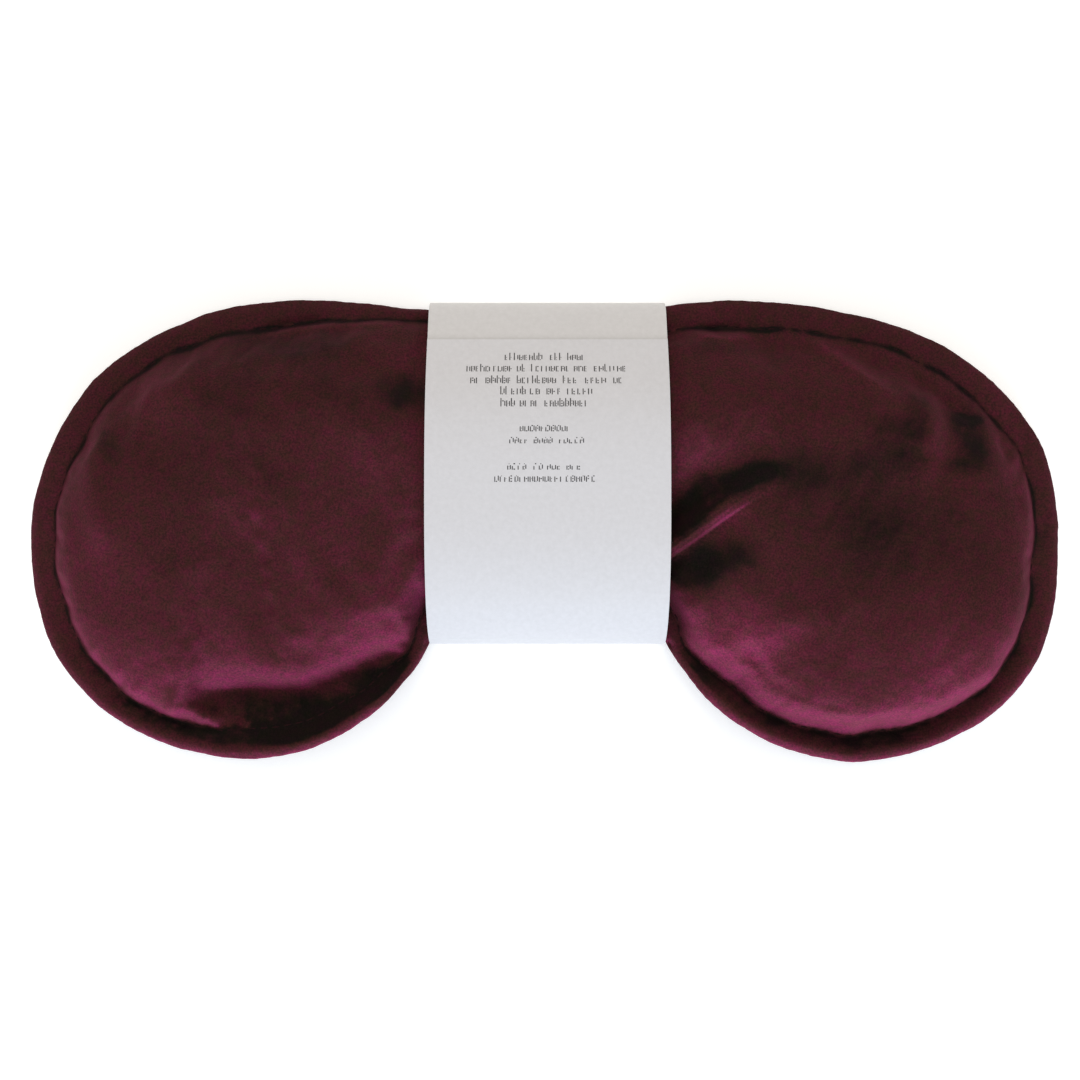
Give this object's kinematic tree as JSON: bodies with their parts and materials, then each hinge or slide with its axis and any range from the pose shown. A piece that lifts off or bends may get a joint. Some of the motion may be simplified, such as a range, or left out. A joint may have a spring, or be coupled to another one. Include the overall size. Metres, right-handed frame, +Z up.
{
  "type": "eye pillow",
  "caption": "Mask-shaped velvet eye pillow with two rounded grain-filled lobes, a topstitched flange all round and a paper belly band about its waist.",
  "frame": {"origin": "centre of the footprint, on the surface the pillow lies on", "axes": "+X along the pillow's long side, +Y towards its straight brow side, away from the notch for the nose, +Z up out of the face panel"},
  "size_m": [0.24, 0.108, 0.0246],
  "materials": {
    "velvet": "burgundy pile velvet",
    "thread": "matt sewing thread",
    "grain": "loose rice and flax seed with dried herbs",
    "card": "uncoated white card",
    "tape": "double-sided tape"
  },
  "bodies": {
    "pillow": {"face_cover": "velvet", "back_cover": "velvet", "grain_fill": "grain", "face_topstitch": "thread", "back_topstitch": "thread", "join_seam_thread": "thread"},
    "band": {"belly_band": "card", "band_tape": "tape"}
  },
  "joints": [
    {"name": "band_slide", "type": "slide", "parent": "pillow", "child": "band", "axis": [1, 0, 0], "range_m": [-0.152, 0.152], "deforming": ["face_cover", "back_cover", "grain_fill", "face_topstitch", "back_topstitch", "join_seam_thread"]}
  ]
}
